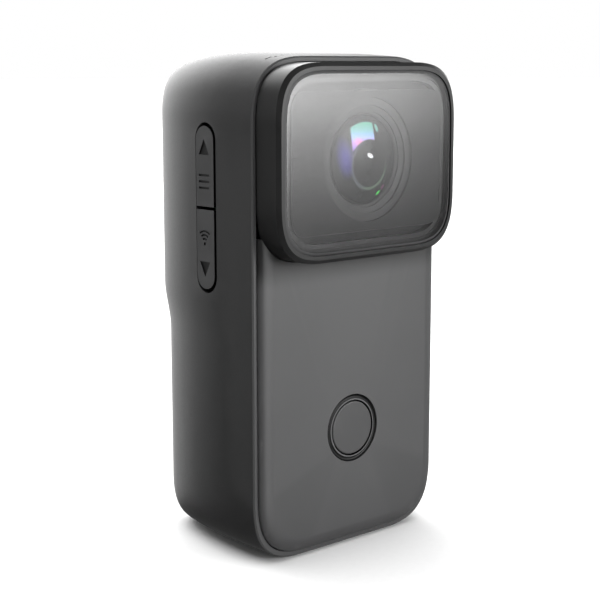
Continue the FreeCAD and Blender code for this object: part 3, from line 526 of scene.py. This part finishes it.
def glass_border_mesh():
    """Band over the ground edge of the cover glass and the joint round it."""
    low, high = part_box("cover_glass")
    band = bmesh.new()
    loops = []
    for inset_mm, depth_mm in BORDER_PROFILE:
        inset = inset_mm * MM
        path = soft_rectangle((low[0] + inset, low[2] + inset), (high[0] - inset, high[2] - inset),
                              GLASS_CORNER - inset, low[1] + depth_mm * MM, GLASS_POWER)
        loops.append([band.verts.new(point) for point in path])
    for outer, inner in zip(loops, loops[1:]):
        bridge(band, outer, inner)
    return make_mesh("glass_border", band, smooth=True)


border_look = plastic("glass_border", grey(0.05), rough=0.4, grain=1500, bump=0.03, wear=0.0,
                      specular=0.3)
glass_border = add_object("glass_border", glass_border_mesh(), border_look)
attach(glass_border, "housing")


# ------------------------------------------------------------------ stage

def grid_mesh(name, cells, half_size, upright=False):
    """Flat grid in the XY plane, or standing in the XZ plane."""
    grid = bmesh.new()
    bmesh.ops.create_grid(grid, x_segments=cells, y_segments=cells, size=half_size)
    if upright:
        bmesh.ops.rotate(grid, verts=grid.verts, cent=(0, 0, 0), matrix=Matrix.Rotation(math.pi / 2, 3, "X"))
    mesh = bpy.data.meshes.new(name)
    grid.to_mesh(mesh)
    grid.free()
    return mesh


def floor_paper():
    mat, tree, bsdf = new_material("floor_paper")
    fibres = noise(tree, 900.0)
    color = ramp(tree, fibres, [(0.3, (0.93, 0.93, 0.93)), (0.7, (0.95, 0.95, 0.95))])
    tree.links.new(color, bsdf.inputs["Base Color"])
    bsdf.inputs["Roughness"].default_value = 0.9
    bsdf.inputs["Specular IOR Level"].default_value = 0.0
    return mat


FLOOR_HALF_SIZE = 8.0
floor = add_object("floor", grid_mesh("floor", 2, FLOOR_HALF_SIZE), floor_paper())
floor.visible_glossy = False
floor.visible_transmission = False


# Studio walls: dark low down and towards the left, bright behind and to the right.
# Levels go from straight down (0) over the horizon (0.5) to straight up (1).
WALL_LEVELS = [(0.0, 0.12), (0.38, 0.16), (0.46, 0.5), (0.54, 1.0), (0.68, 0.7), (0.80, 0.15),
               (1.0, 0.2)]
BRIGHT_WAY = (0.9, 0.45)            # x and y weights of the bright direction
WALL_TURN = (-0.5, 0.6)             # from turned away to turned towards it
WALL_FACTOR = (0.3, 1.3)


def studio_world():
    """Graded walls for reflections and light; plain white where the camera looks past the object."""
    world = bpy.data.worlds.new("studio")
    world.use_nodes = True
    tree = world.node_tree
    walls = tree.nodes["Background"]
    coord = tree.nodes.new("ShaderNodeTexCoord")
    split = tree.nodes.new("ShaderNodeSeparateXYZ")
    tree.links.new(coord.outputs["Generated"], split.inputs["Vector"])
    height = math_node(tree, "MULTIPLY_ADD", split.outputs["Z"], 0.5, 0.5)
    tree.links.new(ramp(tree, height, [(p, (v, v, v)) for p, v in WALL_LEVELS]), walls.inputs["Color"])
    towards = math_node(tree, "MULTIPLY_ADD", split.outputs["Y"], BRIGHT_WAY[1],
                        math_node(tree, "MULTIPLY", split.outputs["X"], BRIGHT_WAY[0]))
    turn = tree.nodes.new("ShaderNodeMapRange")
    turn.inputs["From Min"].default_value = WALL_TURN[0]
    turn.inputs["From Max"].default_value = WALL_TURN[1]
    turn.inputs["To Min"].default_value = WALL_FACTOR[0]
    turn.inputs["To Max"].default_value = WALL_FACTOR[1]
    tree.links.new(towards, turn.inputs["Value"])
    tree.links.new(turn.outputs["Result"], walls.inputs["Strength"])
    backdrop = tree.nodes.new("ShaderNodeBackground")
    backdrop.inputs["Color"].default_value = (1, 1, 1, 1)
    ray = tree.nodes.new("ShaderNodeLightPath")
    switch = tree.nodes.new("ShaderNodeMixShader")
    tree.links.new(ray.outputs["Is Camera Ray"], switch.inputs["Fac"])
    tree.links.new(walls.outputs["Background"], switch.inputs[1])
    tree.links.new(backdrop.outputs["Background"], switch.inputs[2])
    tree.links.new(switch.outputs["Shader"], tree.nodes["World Output"].inputs["Surface"])
    return world


bpy.context.scene.world = studio_world()
bpy.context.scene.view_settings.view_transform = "Standard"
bpy.context.scene.view_settings.exposure = 0.0


# ------------------------------------------------------------------ light

def card_glow(name, stops, side_stops):
    """Light by (share of height, radiance) stops times (share of width, factor) stops."""
    mat = bpy.data.materials.new(name)
    mat.use_nodes = True
    tree = mat.node_tree
    tree.nodes.clear()
    out = tree.nodes.new("ShaderNodeOutputMaterial")
    glow = tree.nodes.new("ShaderNodeEmission")
    xyz = position(tree)
    up = math_node(tree, "ADD", xyz["Z"], 0.5)
    across = math_node(tree, "ADD", xyz["X"], 0.5)
    peak = max(radiance for _, radiance in stops)
    levels = ramp(tree, up, [(place, (radiance / peak,) * 3) for place, radiance in stops])
    tree.links.new(levels, glow.inputs["Color"])
    sides = ramp(tree, across, [(place, (factor,) * 3) for place, factor in side_stops])
    tree.links.new(math_node(tree, "MULTIPLY", sides, peak), glow.inputs["Strength"])
    tree.links.new(glow.outputs["Emission"], out.inputs["Surface"])
    return mat


def softbox(name, centre, facing, width, height, stops, side_stops):
    """Upright diffuser card that faces the given (x, y) direction."""
    mesh = grid_mesh(name, 8, 0.5, upright=True)
    obj = add_object(name, mesh, card_glow(name, stops, side_stops))
    obj.location = centre
    obj.scale = (width, 1, height)
    obj.rotation_euler = (0, 0, math.atan2(facing[1], facing[0]) + math.pi / 2)
    obj.visible_camera = False
    obj.visible_shadow = False


# The key card stands front right.  Its glow starts softly below the lens and is full above it.
CARD_STEPS = [(-0.30, 0.6), (-0.14, 0.55), (-0.05, 0.5), (-0.02, 1.0), (0.0, 1.7), (0.03, 3.3),
              (0.06, 6.3), (0.12, 7.4), (0.30, 7.4), (0.33, 0.0)]
CARD_LOW = CARD_STEPS[0][0]
CARD_HEIGHT = CARD_STEPS[-1][0] - CARD_LOW
softbox("key_card", (0.40, -0.52, CARD_LOW + CARD_HEIGHT / 2), (-0.61, 0.79), 0.50, CARD_HEIGHT,
        [((z - CARD_LOW) / CARD_HEIGHT, radiance) for z, radiance in CARD_STEPS],
        [(0.0, 0.0), (0.2, 0.12), (0.32, 0.55), (0.5, 0.96), (0.65, 1.3), (1.0, 1.8)])
softbox("front_card", (-0.02, -0.66, 0.0), (0.0, 1.0), 0.50, 0.60,
        [(0.0, 1.8), (0.5, 3.6), (1.0, 4.2)],
        [(0.0, 1.0), (0.7, 0.8), (1.0, 0.0)])
softbox("back_card", (0.14, 1.0, 0.35), (-0.14, -0.99), 1.7, 1.6,
        [(0.0, 1.2), (0.25, 2.3), (0.5, 4.4), (0.85, 4.4), (1.0, 0.5)],
        [(0.0, 0.0), (0.15, 0.3), (0.35, 1.0), (0.85, 1.0), (1.0, 0.4)])

sun = bpy.data.lights.new("ceiling", "SUN")
sun.energy = 3.5
sun.angle = math.radians(75)
ceiling = bpy.data.objects.new("ceiling", sun)
ceiling.rotation_euler = (math.radians(-12), 0, 0)
ceiling.visible_glossy = False
bpy.context.collection.objects.link(ceiling)


# ------------------------------------------------------------------ camera

CAMERA_PLACE = Vector((-154.015, -171.41, 77.59)) * MM
CAMERA_HEADING = -42.048        # degrees from +Y, negative towards +X
CAMERA_TILT = 80.497            # degrees from straight down
CAMERA_ROLL = -0.073
CAMERA_LENS = 83.2

camera_data = bpy.data.cameras.new("camera")
camera_data.sensor_width = 36.0
camera_data.lens = CAMERA_LENS
camera_data.clip_start = 0.01
camera = bpy.data.objects.new("camera", camera_data)
heading = Matrix.Rotation(math.radians(CAMERA_HEADING), 4, "Z")
tilt = Matrix.Rotation(math.radians(CAMERA_TILT), 4, "X")
roll = Matrix.Rotation(math.radians(CAMERA_ROLL), 4, "Z")
camera.matrix_world = Matrix.Translation(CAMERA_PLACE) @ heading @ tilt @ roll
bpy.context.collection.objects.link(camera)
bpy.context.scene.camera = camera
